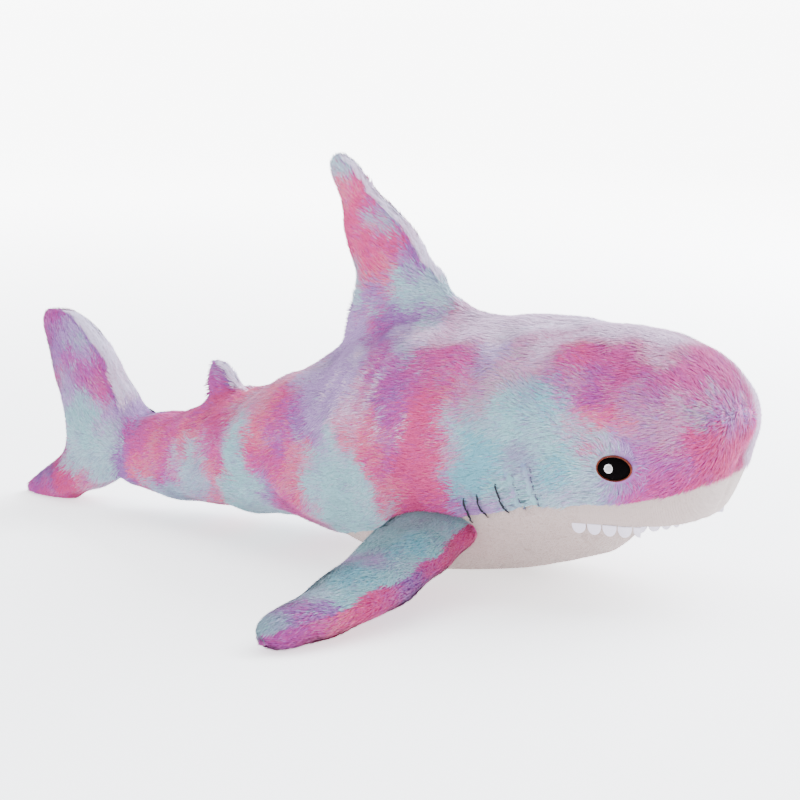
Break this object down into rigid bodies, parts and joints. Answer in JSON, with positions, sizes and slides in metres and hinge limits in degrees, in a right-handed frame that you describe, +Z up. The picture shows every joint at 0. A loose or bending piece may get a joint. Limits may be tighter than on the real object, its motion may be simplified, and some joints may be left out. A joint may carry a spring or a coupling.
{
  "type": "plush shark",
  "caption": "Stuffed plush shark lying on its belly, with tie-dyed sides, a cream belly, felt teeth, stitched gills and soft fins that bend at their seams.",
  "frame": {"origin": "middle of the footprint, on the surface that the belly rests on", "axes": "+X from tail to nose, +Y towards the shark's left side, +Z up"},
  "size_m": [0.606, 0.4922, 0.2778],
  "materials": {
    "tie_dye_plush": "long combed polyester pile, tie-dyed rose, coral, lavender and aqua",
    "cream_short_plush": "short smooth cream-white pile",
    "lining_cloth": "plain cream woven lining",
    "tooth_felt": "pressed felt, white with a lavender cast",
    "black_eye": "satin-stitched black oval",
    "brown_rim_thread": "brown satin-stitched edge",
    "white_glint": "white satin-stitched ring with a grey middle",
    "black_thread": "black embroidery thread",
    "cream_thread": "cream sewing thread",
    "fibre_filling": "white polyester fibre filling"
  },
  "bodies": {
    "body": {"body_stuffing": "fibre_filling", "side_panel_right": "tie_dye_plush", "side_panel_left": "tie_dye_plush", "belly_panel": "cream_short_plush", "upper_lip_panel": "cream_short_plush", "mouth_lining_upper": "lining_cloth", "mouth_lining_lower": "lining_cloth", "upper_teeth_strip": "tooth_felt", "closing_stitches": "cream_thread", "eye_right": "black_eye", "eye_rim_right": "brown_rim_thread", "eye_glint_right": "white_glint", "gill_stitches_right": "black_thread", "eye_left": "black_eye", "eye_rim_left": "brown_rim_thread", "eye_glint_left": "white_glint", "gill_stitches_left": "black_thread"},
    "dorsal_fin": {"dorsal_fin_panel_right": "tie_dye_plush", "dorsal_fin_panel_left": "tie_dye_plush", "dorsal_fin_stuffing": "fibre_filling"},
    "tail_fin": {"tail_fin_panel_right": "tie_dye_plush", "tail_fin_panel_left": "tie_dye_plush", "tail_fin_stuffing": "fibre_filling"},
    "pectoral_fin_right": {"pectoral_fin_upper_panel_right": "tie_dye_plush", "pectoral_fin_lower_panel_right": "tie_dye_plush", "pectoral_fin_stuffing_right": "fibre_filling"},
    "pectoral_fin_left": {"pectoral_fin_upper_panel_left": "tie_dye_plush", "pectoral_fin_lower_panel_left": "tie_dye_plush", "pectoral_fin_stuffing_left": "fibre_filling"}
  },
  "joints": [
    {"name": "tail_fin_wag", "type": "hinge", "parent": "body", "child": "tail_fin", "pos_m": [-0.21198, 0, 0.05185], "axis": [0.3173, 0, 0.9483], "range_deg": [-35, 35], "stiffness_Nm_per_rad": 0.8},
    {"name": "dorsal_fin_flop", "type": "hinge", "parent": "body", "child": "dorsal_fin", "pos_m": [0.0567, 0, 0.17745], "axis": [0.9604, 0, 0.2787], "range_deg": [-20, 20], "stiffness_Nm_per_rad": 0.6},
    {"name": "pectoral_fin_flap_right", "type": "hinge", "parent": "body", "child": "pectoral_fin_right", "pos_m": [0.113, -0.0941, 0.0365], "axis": [-1, 0, 0], "range_deg": [-15, 40], "stiffness_Nm_per_rad": 0.6},
    {"name": "pectoral_fin_flap_left", "type": "hinge", "parent": "body", "child": "pectoral_fin_left", "pos_m": [0.113, 0.0941, 0.0365], "axis": [1, 0, 0], "range_deg": [-15, 40], "stiffness_Nm_per_rad": 0.6}
  ]
}
